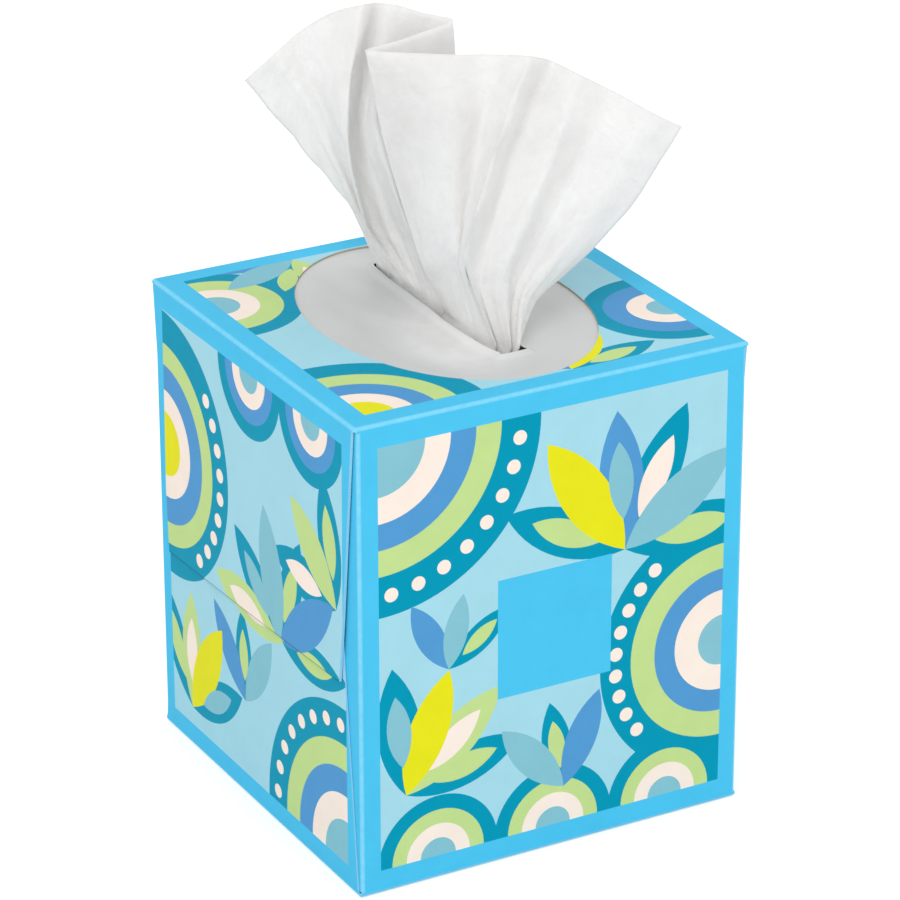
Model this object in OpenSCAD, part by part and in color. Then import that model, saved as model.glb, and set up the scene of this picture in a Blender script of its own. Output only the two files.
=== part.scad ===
// Upright tissue carton with an oval opening, a slit film window, the folded clip of tissues
// and the first tissue pulled up through the slit.
// Frame: millimetres, +Z up, X across the slit, Y along the slit, the front panel at -Y.
// The origin is the middle of the base.

/* [Carton] */
// Outside width of the carton, across the slit
carton_w = 111; // [100:1:125]
// Outside depth of the carton, along the slit
carton_d = 111; // [104:1:125]
// Outside height of the carton
carton_h = 127; // [118:1:140]
// Thickness of the paperboard
board_t = 0.46; // [0.36:0.02:0.6]
// Outside radius of every crease
crease_r = 1; // [0.8:0.1:1.4]
// Height of the glued seam flap inside the back panel
seam_flap_h = 14; // [8:1:20]

/* [End closures] */
// Length of an upper end flap, along its middle
upper_flap_l = 72; // [66:1:80]
// Slant of the upper flap's cut edge, higher at the front
upper_flap_slant = 2.3; // [0:0.1:3]
// How far the lower flap reaches up under the upper flap
flap_lap = 15; // [8:1:25]
// Step from a corner to a flap's side, at its crease
flap_root_step = 1.3; // [1:0.1:2]
// Step from a corner to a flap's side, at its cut edge
flap_tip_step = 7.9; // [4:0.1:10]
// Gap between the tips of two dust flaps
dust_flap_gap = 19; // [12:1:40]

/* [Opening and film] */
// Width of the board left on each side of the oval opening
opening_side = 21; // [18:0.5:26]
// Width of the board left at each end of the oval opening
opening_end = 7; // [6.5:0.5:12]
// Width of the film that is glued round the opening
film_margin = 4; // [2:0.5:5]
// Thickness of the film
film_t = 0.2; // [0.1:0.05:0.3]
// How far the film dips at the slit
film_dip = 1; // [0.5:0.25:3]
// Distance from each end of the opening to the slit
slit_end = 13.5; // [10:0.5:17]
// Width of the slit where the tissue spreads it
slit_w = 7; // [7:0.5:9]
// Share by which the slit is narrower at its back, where the tissue is thinner
slit_taper = 0.5; // [0:0.05:0.6]
// How far the slit's middle lies behind the middle of the opening
slit_back = 2.5; // [0:0.5:3.5]

/* [Tissues] */
// Gap between the folded clip and the flaps at each end
clip_end_gap = 2.1; // [1:0.1:6]
// Gap between the clip and the front and back panels
clip_face_gap = 3; // [1:0.1:6]
// Gap between the top of the clip and the film at the slit
clip_headroom = 3; // [2:0.5:8]
// Gap between the two legs of the clip
clip_slot = 8; // [4:1:20]
// Outside radius where the clip bends over
clip_bend_r = 36; // [20:1:40]
// How far the first tissue rises above the carton
tissue_rise = 80; // [60:1:90]
// Turn of the tissue's fan from the carton's front
fan_turn = 29; // [20:1:35]
// Thickness of the first tissue with its plies
tissue_t = 0.3; // [0.2:0.05:0.4]

/* [Print] */
// Width of the plain border round each printed panel
border = 6.3; // [4:0.1:10]
// Side of the blank square on the front panel
label_side = 32.5; // [20:0.5:45]
// Height of the middle of that square
label_z = 62; // [45:1:80]

/* [Hidden] */
$fn = 96;

// Inks and materials
sky = "#4DC5F0";
pale = "#A6DAE9";
teal = "#0098B8";
blue = "#549BD3";
mist = "#86C3D2";
green = "#C3DE91";
yellow = "#E8E51E";
cream = "#FBECE0";
raw_board = "#B7A48E";
film_grey = "#D2D4D4";
tissue_white = "#F4F4F4";

// Inks of the print, from the lowest pass to the one on top, and the depth they are shown at
inks = [pale, teal, green, blue, cream, yellow, mist];
ink_t = 0.1;

// The top, bottom and side panels run level to here, and the end flaps fold down past it
sleeve_l = carton_w - 4 * board_t - 2 * crease_r;
lower_flap_l = carton_h - upper_flap_l + flap_lap;
dust_flap_l = (carton_d - dust_flap_gap) / 2;
seam_flap_step = 1.5;
print_w = carton_w - 2 * border;
print_d = carton_d - 2 * border;
print_h = carton_h - 2 * border;

opening_w = carton_w - 2 * opening_side;
opening_d = carton_d - 2 * opening_end;
slit_l = opening_d - 2 * slit_end;
film_z = carton_h - board_t;

// Three layers of flaps close each end
clip_w = carton_w - 6 * board_t - 2 * clip_end_gap;
clip_d = carton_d - 2 * board_t - 2 * clip_face_gap;
clip_leg = (clip_d - clip_slot) / 2;
clip_top = film_z - film_dip - film_t - clip_headroom;

// Rounded rectangle with true arcs, centred
module rounded_rect(w, h, r) {
    square([w - 2 * r, h], center = true);
    square([w, h - 2 * r], center = true);
    for (x = [-1, 1], y = [-1, 1])
        translate([x * (w / 2 - r), y * (h / 2 - r)]) circle(r);
}

// Extrudes a shape drawn in Y and Z along X, centred
module along_x(length) {
    rotate([90, 0, 90]) translate([0, 0, -length / 2]) linear_extrude(length) children();
}

// The four faces that the sleeve's panels have, each with its outside up at z = 0
module on_top() { translate([0, 0, carton_h]) children(); }
module on_bottom() { rotate([180, 0, 0]) children(); }
module on_front() { translate([0, -carton_d / 2, carton_h / 2]) rotate([90, 0, 0]) children(); }
module on_back() { translate([0, carton_d / 2, carton_h / 2]) rotate([-90, 0, 0]) children(); }

module sleeve_section() {
    difference() {
        rounded_rect(carton_d, carton_h, crease_r);
        rounded_rect(carton_d - 2 * board_t, carton_h - 2 * board_t, crease_r - board_t);
    }
}

// Sleeve: the top, front, bottom and back panels wrapped round X, with the seam flap inside.
// Its four creases run on to the corners, between the roots of the end flaps.
module sleeve() {
    along_x(sleeve_l) translate([0, carton_h / 2]) sleeve_section();
    along_x(carton_w - 4 * board_t) translate([0, carton_h / 2]) intersection() {
        sleeve_section();
        for (y = [-1, 1], z = [-1, 1])
            translate([y * (carton_d - flap_root_step) / 2, z * (carton_h - flap_root_step) / 2])
                square(flap_root_step, center = true);
    }
    translate([seam_flap_step - sleeve_l / 2, carton_d / 2 - 2 * board_t, board_t])
        cube([sleeve_l - 2 * seam_flap_step, board_t, seam_flap_h]);
}

// Outline of an end flap, hanging down from its crease at y = 0
module flap_shape(root_w, tip_w, length, slant = 0) {
    rise = tip_w / 2 * tan(slant);
    polygon([
        [-root_w / 2, 0], [root_w / 2, 0],
        [tip_w / 2, -length - rise], [-tip_w / 2, -length + rise]
    ]);
}

// A flap at the +X end of a panel that lies level with its outside at z = 0.
// It folds down over a crease, and lies a number of boards in from the outermost layer.
module end_flap(layer, root_w, tip_w, length, slant = 0) {
    reach = carton_w / 2 - layer * board_t;
    translate([sleeve_l / 2 - board_t, -root_w / 2, -board_t])
        cube([reach - crease_r - sleeve_l / 2 + board_t, root_w, board_t]);
    translate([reach - crease_r, root_w / 2, -crease_r]) rotate([90, 0, 0])
        rotate_extrude(angle = 90) translate([crease_r - board_t, 0]) square([board_t, root_w]);
    translate([reach - board_t, 0, -crease_r]) rotate([90, 0, 90]) linear_extrude(board_t)
        flap_shape(root_w, tip_w, length - crease_r, slant);
}

// The four flaps that close the +X end: two dust flaps, then the lower flap, then the upper one
module end_closure() {
    flap_w = carton_d - 2 * flap_root_step;
    tip_w = carton_d - 2 * flap_tip_step;
    dust_w = carton_h - 2 * flap_root_step;
    dust_tip_w = carton_h - 2 * flap_tip_step;
    on_front() end_flap(2, dust_w, dust_tip_w, dust_flap_l);
    on_back() end_flap(2, dust_w, dust_tip_w, dust_flap_l);
    on_bottom() end_flap(1, flap_w, tip_w, lower_flap_l);
    on_top() end_flap(0, flap_w, tip_w, upper_flap_l, upper_flap_slant);
}

module opening_shape() {
    scale([opening_w / opening_d, 1]) circle(d = opening_d);
}

// Print. Each panel has rows of motifs, drawn from its middle in millimetres:
// suns are [x, y, [radius of each ink pass after the first]] and leaves are
// [x of the stalk, y, turn, length, ink pass].
hw = print_w / 2;
hd = print_d / 2;
hh = print_h / 2;
scallop_r = 17;
dot_r = 1.9;
leaf_slimness = 3;

// Dots round a sun, and leaves fanned out from one stalk. A core is a smaller leaf inside a leaf,
// given by its ink pass, and 0 is none.
core_start = 0.22;
core_share = 0.56;
function dots(x, y, r, from, to, step) =
    [for (a = [from : step : to]) [x + r * cos(a), y + r * sin(a), [0, 0, 0, dot_r, 0, 0]]];
function leaf_length(length, i) = length - 2 * (i % 2);
function fan(x, y, turn, step, length, passes, cores) = concat(
    [for (i = [0 : len(passes) - 1])
        [x, y, turn + step * i, leaf_length(length, i), passes[i]]],
    [for (i = [0 : len(cores) - 1]) let (a = turn + step * i, l = leaf_length(length, i))
        if (cores[i] > 0)
            [x + core_start * l * cos(a), y + core_start * l * sin(a), a, core_share * l, cores[i]]]
);

front_suns = concat(
    [[-hw, hh, [45, 34, 27, 20, 0, 13]], [hw, -17, [36, 27, 20, 14, 0, 7]]],
    [for (x = [-33, 0, 33]) [x, -hh, [scallop_r, 13, 0, 9, 0, 5]]],
    dots(-hw, hh, 39.5, 275, 352, 11),
    dots(hw, -17, 31.5, 130, 218, 11)
);
front_leaves = concat(
    fan(20, 15, 4, 30, 40, [1, 6, 1, 3, 5, 1], [2, 0, 4, 6, 0, 2]),
    fan(-42, -38, 96, -27, 36, [1, 5, 2, 1], [6, 0, 4, 2]),
    fan(-30, -6, 118, -40, 22, [3, 6, 1], [0, 0, 2]),
    fan(3, -47, 132, -32, 27, [6, 1, 3], [4, 2, 0])
);
end_suns = concat(
    [[-hd, -hh, [43, 33, 26, 19, 0, 12]], [hd, 20, [37, 28, 22, 15, 9, 0]]],
    [for (x = [-33, 0]) [x, hh, [scallop_r, 0, 13, 9, 0, 5]]],
    dots(-hd, -hh, 38, 5, 86, 11.5),
    dots(hd, 20, 32.5, 140, 232, 11.5)
);
end_leaves = concat(
    fan(-16, -10, 10, 33, 36, [2, 1, 6, 1, 3, 1], [4, 6, 0, 2, 0, 2]),
    fan(38, -52, 62, 30, 36, [1, 2, 5, 1], [2, 4, 0, 6]),
    fan(6, -36, 52, 36, 28, [3, 1, 6], [0, 2, 0]),
    fan(-46, 12, 78, -36, 34, [1, 2, 1], [2, 0, 4])
);
top_suns = concat(
    [[-hw, -hd, [32, 25, 19, 13, 8, 0]], [hw, hd, [36, 27, 21, 15, 0, 8]]],
    [[-hw, 30, [22, 17, 0, 11, 0, 6]], [hw, -26, [21, 0, 16, 10, 0, 5]]],
    dots(hw, hd, 31.5, 184, 266, 11)
);
top_leaves = concat(
    fan(8, -49, 12, 34, 28, [1, 5, 1, 3], [2, 0, 6, 0]),
    fan(-18, 49, 170, 34, 28, [3, 6, 1, 2], [0, 0, 2, 4])
);

// Leaf along +X from its stalk: two arcs that meet in points
module leaf(length) {
    w = length / leaf_slimness;
    r = (length * length + w * w) / (4 * w);
    intersection_for (side = [-1, 1]) translate([length / 2, side * (r - w / 2)]) circle(r);
}

// All the motifs of one ink pass
module motifs(pass, suns, leaves) {
    for (s = suns) if (s[2][pass - 1] > 0) translate([s[0], s[1]]) circle(s[2][pass - 1]);
    for (l = leaves) if (l[4] == pass) translate([l[0], l[1]]) rotate(l[2]) leaf(l[3]);
}

// Printed fields, level with the board. The child is the area that is printed.
module printed(suns, leaves) {
    for (pass = [0 : len(inks) - 1])
        color(inks[pass]) translate([0, 0, -ink_t]) linear_extrude(ink_t) difference() {
            intersection() {
                children();
                if (pass == 0) square([2 * print_w, 2 * print_h], center = true);
                else motifs(pass, suns, leaves);
            }
            for (over = [pass + 1 : 1 : len(inks) - 1]) motifs(over, suns, leaves);
        }
}

module label_shape() {
    translate([0, label_z - carton_h / 2]) square(label_side, center = true);
}

module front_area() {
    difference() {
        square([print_w, print_h], center = true);
        label_shape();
    }
}

module back_area() { square([print_w, print_h], center = true); }

module top_area() { square([print_w, print_d], center = true); }

// The end panels' print lies partly on the upper flap and partly on the lower one
module upper_flap_area() {
    translate([0, carton_h / 2 - crease_r]) flap_shape(carton_d - 2 * flap_root_step,
        carton_d - 2 * flap_tip_step, upper_flap_l - crease_r, upper_flap_slant);
}

module end_upper_area() {
    intersection() {
        square([print_d, print_h], center = true);
        upper_flap_area();
    }
}

module end_lower_area() {
    difference() {
        intersection() {
            square([print_d, print_h], center = true);
            translate([0, crease_r - carton_h / 2]) rotate(180)
                flap_shape(carton_d - 2 * flap_root_step, carton_d - 2 * flap_tip_step,
                    lower_flap_l - crease_r);
        }
        upper_flap_area();
    }
}

module on_end(layer) {
    translate([carton_w / 2 - layer * board_t, 0, carton_h / 2]) rotate([90, 0, 90]) children();
}

// Both ends, the -X one as the other's mirror image
module both_ends() {
    children();
    mirror([1, 0, 0]) children();
}

module pocket() {
    translate([0, 0, -ink_t]) linear_extrude(2 * ink_t) children();
}

// The folded and glued blank, with a pocket as deep as the ink under each printed panel
module plain_board() {
    difference() {
        union() {
            sleeve();
            both_ends() end_closure();
        }
        on_top() pocket() top_area();
        on_front() pocket() front_area();
        on_back() pocket() back_area();
        both_ends() {
            on_end(0) pocket() end_upper_area();
            on_end(1) pocket() end_lower_area();
        }
    }
}

module carton() {
    difference() {
        union() {
            color(sky) plain_board();
            on_top() printed(top_suns, top_leaves) top_area();
            on_front() printed(front_suns, front_leaves) front_area();
            on_back() rotate(180) printed(front_suns, front_leaves) back_area();
            both_ends() {
                on_end(0) printed(end_suns, end_leaves) end_upper_area();
                on_end(1) printed(end_suns, end_leaves) end_lower_area();
            }
        }
        color(raw_board) translate([0, 0, carton_h - 2 * board_t])
            linear_extrude(3 * board_t) opening_shape();
    }
}

// Film window. Its middle surface is a grid of rings, from the slit's edge out to the film's edge.
film_sides = 64;
film_rings = 9;

function smooth(t) = t * t * (3 - 2 * t);

// Outline of the slit, spread by the tissue to a long rounded shape
function slit_w_at(a) = slit_w * (1 - slit_taper * smooth((1 + sin(a)) / 2));
function slit_edge(a) =
    [slit_w_at(a) / 2 * sign(cos(a)) * pow(abs(cos(a)), 0.6), slit_back + slit_l / 2 * sin(a)];

function opening_edge(a) = [opening_w / 2 * cos(a), opening_d / 2 * sin(a)];

// Point of the film's upper side: s runs from 0 at the slit to 1 at the opening
function film_point(s, a) =
    let (p = slit_edge(a) * (1 - s) + opening_edge(a) * s)
    [p.x, p.y, film_z - film_dip * (1 - smooth(s))];

function film_rim_point(a) =
    let (p = opening_edge(a), far = (opening_d / 2 + film_margin) / (opening_d / 2))
    [p.x * far, p.y * far, film_z];

function film_ring(i) = [
    for (k = [0 : film_sides - 1])
        let (a = 360 * k / film_sides)
        i < film_rings ? film_point(i / (film_rings - 1), a) : film_rim_point(a)
];

// Closed skin between an upper and a lower grid of rings
function ring_faces(rings, sides) = [
    for (i = [0 : rings - 2], k = [0 : sides - 1])
        let (a = i * sides + k, b = i * sides + (k + 1) % sides)
        [b, b + sides, a + sides, a]
];

module film_window() {
    upper = [for (i = [0 : film_rings]) each film_ring(i)];
    lower = [for (p = upper) p - [0, 0, film_t]];
    rings = film_rings + 1;
    n = rings * film_sides;
    last = (rings - 1) * film_sides;
    color(film_grey) polyhedron(
        points = concat(upper, lower),
        faces = concat(
            ring_faces(rings, film_sides),
            [for (f = ring_faces(rings, film_sides)) [for (k = [3 : -1 : 0]) f[k] + n]],
            [for (k = [0 : film_sides - 1])
                let (j = (k + 1) % film_sides) [j, k, k + n, j + n]],
            [for (k = [0 : film_sides - 1])
                let (j = (k + 1) % film_sides) [last + k, last + j, last + j + n, last + k + n]]
        )
    );
}

// Clip of tissues: one stack bent over into an upside-down U
module clip_shape() {
    h = clip_top - board_t;
    difference() {
        union() {
            translate([-clip_d / 2, 0]) square([clip_d, h - clip_bend_r]);
            translate([-clip_d / 2 + clip_bend_r, 0]) square([clip_d - 2 * clip_bend_r, h]);
            for (y = [-1, 1])
                translate([y * (clip_d / 2 - clip_bend_r), h - clip_bend_r]) circle(clip_bend_r);
        }
        translate([-clip_slot / 2, -1]) square([clip_slot, h - clip_leg - clip_slot / 2 + 1]);
        translate([0, h - clip_leg - clip_slot / 2]) circle(clip_slot / 2);
    }
}

module tissue_stack() {
    color(tissue_white) translate([0, 0, board_t]) along_x(clip_w) clip_shape();
}

// First tissue. Each fold is [foot in the slit], then its low, middle and top points as
// [across the fan, towards the fan's front, above the carton], for a rise of 80 mm.
// They run from one side edge of the sheet to the other.
fold_rise = 80;
fold_slit_l = 70;
fold_slit_w = 7;
folds = [
    [[0.4, 31.5], [-24.5, -22.5, 20], [-36, -21, 36], [-50.5, -20, 55]],
    [[-0.4, 28], [-23.3, -19, 21], [-35, -16, 49], [-43.5, -15, 63]],
    [[0.5, 24.5], [-21.3, -20.5, 19.5], [-31, -17, 49.5], [-37, -17, 68.5]],
    [[-0.4, 20.5], [-19.2, -16.5, 19], [-27.5, -9, 48], [-28.5, -12, 75.5]],
    [[0.6, 16], [-20, -12, 18], [-24.5, -4, 48], [-20.5, -5, 80]],
    [[0.9, 10.5], [-12.5, -18, 13.5], [-20.5, -12, 43], [-16.5, -11, 78.5]],
    [[-0.3, 4.5], [-8, -4, 18], [-17, -10, 48], [-12.5, -11, 78]],
    [[1.9, -6.5], [-3.5, -8, 13.5], [-10, -9, 51], [-5, -9, 76.5]],
    [[1.6, -12], [2, 2, 12], [1.5, -3, 42.5], [2, -5, 76]],
    [[0.6, -8.5], [-1, 5, 20], [-8.5, -1, 45.5], [-8.5, -2, 72.5]],
    [[0, -2.5], [-6, 8, 16.5], [-14.5, 4, 45], [-19.5, 2, 70.5]],
    [[-1, -9.5], [-3, 10, 16.5], [-8, 5, 45], [-11, 4, 70.5]],
    [[-1.3, -15], [2, 16, 21.5], [2, 10, 44.5], [1.5, 4, 70]],
    [[-2.1, -22.5], [3.4, 17, 19], [8.5, 7, 46], [12.5, 4, 70]],
    [[-1.6, -28.5], [5, 21, 21.5], [13, 15, 50], [21, 11, 72]],
    [[-0.8, -25.2], [11, 11, 15.5], [17, 5, 45], [26.5, 3, 68]],
    [[0, -30.5], [15.5, 21, 19], [26, 13, 46], [33.5, 8, 66]],
    [[0.8, -26], [20, 12, 15], [32.5, 5, 40], [41.5, 4, 60.5]],
    [[1.6, -28.8], [23, 20, 13.5], [39, 12, 37], [50.5, 9, 57]],
    [[2.3, -26.5], [25.5, 14, 8.5], [44, 9, 28], [59, 6, 51.5]]
];
fold_steps = 3;   // grid columns from one fold to the next
rise_steps = 4;   // grid rows from one point of a fold to the next
foot_gap = 0.3;   // between the foot and the clip

// Curve through points, at t = 0 for the first point, 1 for the second and so on
function through(points, t) =
    let (
        last = len(points) - 1,
        i = min(floor(t), last - 1), u = t - i,
        b = points[i], c = points[i + 1],
        a = i > 0 ? points[i - 1] : 2 * b - c,
        d = i + 2 <= last ? points[i + 2] : 2 * c - b
    )
    (2 * b + (c - a) * u + (2 * a - 5 * b + 4 * c - d) * u * u
        + (3 * b - a - 3 * c + d) * u * u * u) / 2;

fan_across = [cos(fan_turn), -sin(fan_turn), 0];
fan_front = [-sin(fan_turn), -cos(fan_turn), 0];

function foot_point(foot, z) =
    [foot.x * slit_w / fold_slit_w, slit_back + foot.y * slit_l / fold_slit_l, z];

function fan_point(p) =
    (fan_across * p.x + fan_front * p.y + [0, 0, p.z]) * tissue_rise / fold_rise
        + [0, 0, carton_h];

// Points of one fold, from its neck just above the slit to its top
function fold_line(f) =
    [foot_point(f[0], film_z - film_dip + 1), fan_point(f[1]), fan_point(f[2]), fan_point(f[3])];

// Rows of the sheet: the foot first, then from the neck up to the free edge
tissue_rows = concat(
    [[for (f = folds) foot_point(f[0], clip_top + foot_gap)]],
    [for (j = [0 : 3 * rise_steps]) [for (f = folds) through(fold_line(f), j / rise_steps)]]
);
tissue_grid = [
    for (row = tissue_rows)
        [for (i = [0 : (len(folds) - 1) * fold_steps]) through(row, i / fold_steps)]
];

function unit(v) = v / norm(v);

// Direction square to the sheet at a point of the grid
function grid_normal(g, j, i) =
    let (
        rows = len(g) - 1, columns = len(g[0]) - 1,
        along = g[j][min(i + 1, columns)] - g[j][max(i - 1, 0)],
        up = g[min(j + 1, rows)][i] - g[max(j - 1, 0)][i]
    )
    unit(cross(along, up));

function offset_grid(g, d) = [
    for (j = [0 : len(g) - 1], i = [0 : len(g[0]) - 1]) g[j][i] + d * grid_normal(g, j, i)
];

module top_tissue() {
    rows = len(tissue_grid);
    columns = len(tissue_grid[0]);
    n = rows * columns;
    top = (rows - 1) * columns;
    color(tissue_white) polyhedron(
        points = concat(
            offset_grid(tissue_grid, tissue_t / 2), offset_grid(tissue_grid, -tissue_t / 2)),
        faces = concat(
            [for (j = [0 : rows - 2], i = [0 : columns - 2])
                let (a = j * columns + i) [a, a + columns, a + columns + 1, a + 1]],
            [for (j = [0 : rows - 2], i = [0 : columns - 2])
                let (a = n + j * columns + i) [a, a + 1, a + columns + 1, a + columns]],
            [for (i = [0 : columns - 2]) [i, i + 1, n + i + 1, n + i]],
            [for (i = [top : top + columns - 2]) [i + 1, i, n + i, n + i + 1]],
            [for (j = [0 : rows - 2])
                let (a = j * columns) [a + columns, a, n + a, n + a + columns]],
            [for (j = [0 : rows - 2])
                let (a = (j + 1) * columns - 1) [a, a + columns, n + a + columns, n + a]]
        )
    );
}

carton();
film_window();
tissue_stack();
top_tissue();
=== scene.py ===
"""Upright tissue carton with a film window and the first tissue pulled up, for Blender 4.5.

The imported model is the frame: metres, +Z up, the front panel at -Y, the origin at the middle of the
base. The carton, the film window and the pulled-up tissue are built here in millimetres as numpy
surfaces, and each stands for its CAD node. The clip of tissues inside keeps its CAD mesh.
"""
from __future__ import annotations

import logging
import math
from dataclasses import dataclass, field
from enum import Enum

import bpy
import numpy as np
from mathutils import Matrix, Vector, geometry

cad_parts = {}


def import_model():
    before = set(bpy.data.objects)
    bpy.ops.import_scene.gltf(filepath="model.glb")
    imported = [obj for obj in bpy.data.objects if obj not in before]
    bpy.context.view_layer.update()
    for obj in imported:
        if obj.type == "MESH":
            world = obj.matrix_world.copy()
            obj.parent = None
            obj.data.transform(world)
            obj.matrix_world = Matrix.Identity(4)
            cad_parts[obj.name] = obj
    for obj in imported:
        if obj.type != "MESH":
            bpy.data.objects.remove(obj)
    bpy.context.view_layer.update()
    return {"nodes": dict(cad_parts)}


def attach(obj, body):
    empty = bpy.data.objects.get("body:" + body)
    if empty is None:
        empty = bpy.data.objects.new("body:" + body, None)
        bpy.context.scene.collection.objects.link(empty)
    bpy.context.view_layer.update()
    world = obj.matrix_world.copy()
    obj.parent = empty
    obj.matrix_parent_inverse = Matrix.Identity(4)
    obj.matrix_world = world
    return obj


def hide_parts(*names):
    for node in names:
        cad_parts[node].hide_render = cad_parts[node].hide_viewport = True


LOG = logging.getLogger("tissue_carton")
MM = 0.001
BODY = "root"
# Points that round to the same step are welded: this many steps to a millimetre
WELD_STEPS = 2000
# Numbers of the carton's materials
PRINTED, CUT_EDGE, INSIDE, PAINTED_HIGHLIGHT_EDGE = range(4)

Triple = tuple[float, float, float]
Tree = bpy.types.NodeTree
Socket = bpy.types.NodeSocket


def linear(hex_colour: str) -> tuple[float, float, float, float]:
    """Turns an sRGB hex colour into linear red, green, blue and alpha.

    Args:
        hex_colour: such as "#4DC5F0".

    Returns:
        Four numbers from 0 to 1.
    """
    channels = [int(hex_colour[i:i + 2], 16) / 255 for i in (1, 3, 5)]
    curve = [c / 12.92 if c <= 0.04045 else ((c + 0.055) / 1.055) ** 2.4 for c in channels]
    return (curve[0], curve[1], curve[2], 1.0)


def add_node(tree: Tree, kind: str, inputs: dict[str | int, object] | None = None,
             **settings: object) -> bpy.types.Node:
    """Adds one node with its settings and links.

    Args:
        tree: the node tree it goes into.
        kind: the node's type name.
        inputs: input name or number, to a value or to the output socket that feeds it.
        settings: properties of the node itself.

    Returns:
        The new node.
    """
    node = tree.nodes.new(kind)
    for name, value in settings.items():
        setattr(node, name, value)
    for key, value in (inputs or {}).items():
        if isinstance(value, Socket):
            tree.links.new(value, node.inputs[key])
        else:
            node.inputs[key].default_value = value
    return node


def new_object(name: str, data: bpy.types.ID) -> bpy.types.Object:
    """Makes an object of a mesh, lamp or camera and links it to the scene.

    Args:
        name: the object's name.
        data: what it shows.

    Returns:
        The object.
    """
    made = bpy.data.objects.new(name, data)
    bpy.context.scene.collection.objects.link(made)
    return made


# Finishes

@dataclass(frozen=True)
class Finish:
    """A material, named for what the real one is. Each kind draws its own surface."""

    name: str

    def shade(self, tree: Tree) -> Socket:
        """Draws the surface: adds its nodes to the tree and gives the socket that is shown."""
        raise NotImplementedError

    def build(self) -> bpy.types.Material:
        """Builds the material."""
        material = bpy.data.materials.new(self.name)
        material.use_nodes = True
        tree = material.node_tree
        tree.nodes.clear()
        add_node(tree, "ShaderNodeOutputMaterial", {"Surface": self.shade(tree)})
        return material


class Ink(Enum):
    """Inks of the print. SKY is the border's, and the others are laid down in this order."""

    SKY = "#4DC5F0"
    PALE = "#A6DAE9"
    TEAL = "#0098B8"
    GREEN = "#C3DE91"
    BLUE = "#549BD3"
    CREAM = "#FBECE0"
    YELLOW = "#E8E51E"
    MIST = "#86C3D2"


PASSES = tuple(Ink)[1:]


@dataclass(frozen=True)
class PrintedBoard(Finish):
    """Coated folding boxboard, offset printed and sealed with a water-based satin varnish.

    The coating gives clean flat colour and a soft sheen. Along creases and rounded corners the ink is
    painted lighter: partly cracked coating, partly a painted highlight. The ink's colour is the mesh's
    own
    "ink" attribute, which also holds a painted shadow along the outer flaps' cut edges. Its alpha is the
    share of the lighter colour.
    """

    name: str = "offset_printed_boxboard"
    roughness: float = 0.42
    ior: float = 1.5
    sheen: float = 0.035
    # Colour of creases and corners: cracked coating and a painted highlight
    worn_and_painted_light: str = "#9FE2FC"
    mottle_mm: float = 9.0
    highlight_and_wear_noise_mm: float = 1.6
    fibre_mm: float = 0.7
    flow_mm: float = 14.0

    def shade(self, tree: Tree) -> Socket:
        """Draws the surface."""
        place = add_node(tree, "ShaderNodeTexCoord").outputs["Object"]
        ink = add_node(tree, "ShaderNodeAttribute", attribute_name="ink")
        mottle = add_node(tree, "ShaderNodeTexNoise", {
            "Vector": place, "Scale": 1 / (self.mottle_mm * MM), "Detail": 3.0, "Roughness": 0.6})
        density = add_node(tree, "ShaderNodeMapRange", {
            "Value": mottle.outputs["Fac"], "From Min": 0.3, "From Max": 0.7,
            "To Min": 0.975, "To Max": 1.02})
        colour = add_node(tree, "ShaderNodeVectorMath", {
            0: ink.outputs["Color"], "Scale": density.outputs["Result"]}, operation="SCALE")
        # Painted highlight and cracked coating: a patchy share of the lighter colour, by the ink
        # attribute's alpha
        highlight_and_wear_noise = add_node(tree, "ShaderNodeTexNoise", {
            "Vector": place, "Scale": 1 / (self.highlight_and_wear_noise_mm * MM), "Detail": 4.0, "Roughness": 0.7})
        uneven_highlight_and_wear = add_node(tree, "ShaderNodeMapRange", {
            "Value": highlight_and_wear_noise.outputs["Fac"], "From Min": 0.25, "From Max": 0.75,
            "To Min": 0.35, "To Max": 0.75})
        wear_and_painted_light = add_node(tree, "ShaderNodeMath", {
            0: ink.outputs["Alpha"], 1: uneven_highlight_and_wear.outputs["Result"]}, operation="MULTIPLY")
        worn_and_painted_light = add_node(tree, "ShaderNodeMix", {
            "Factor": wear_and_painted_light.outputs[0], 6: colour.outputs[0], 7: linear(self.worn_and_painted_light)}, data_type="RGBA")
        flow = add_node(tree, "ShaderNodeTexNoise", {
            "Vector": place, "Scale": 1 / (self.flow_mm * MM), "Detail": 1.0})
        waves = add_node(tree, "ShaderNodeBump", {
            "Height": flow.outputs["Fac"], "Strength": 0.25, "Distance": 0.25 * MM})
        fibre = add_node(tree, "ShaderNodeTexNoise", {
            "Vector": place, "Scale": 1 / (self.fibre_mm * MM), "Detail": 3.0})
        grain = add_node(tree, "ShaderNodeBump", {
            "Height": fibre.outputs["Fac"], "Strength": 0.12, "Distance": 0.03 * MM,
            "Normal": waves.outputs["Normal"]})
        gloss = add_node(tree, "ShaderNodeMapRange", {
            "Value": fibre.outputs["Fac"], "From Min": 0.3, "From Max": 0.7,
            "To Min": self.roughness - 0.04, "To Max": self.roughness + 0.05})
        shader = add_node(tree, "ShaderNodeBsdfPrincipled", {
            "Base Color": worn_and_painted_light.outputs[2], "Roughness": gloss.outputs["Result"],
            "Normal": grain.outputs["Normal"], "IOR": self.ior, "Specular IOR Level": self.sheen})
        return shader.outputs[0]


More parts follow.
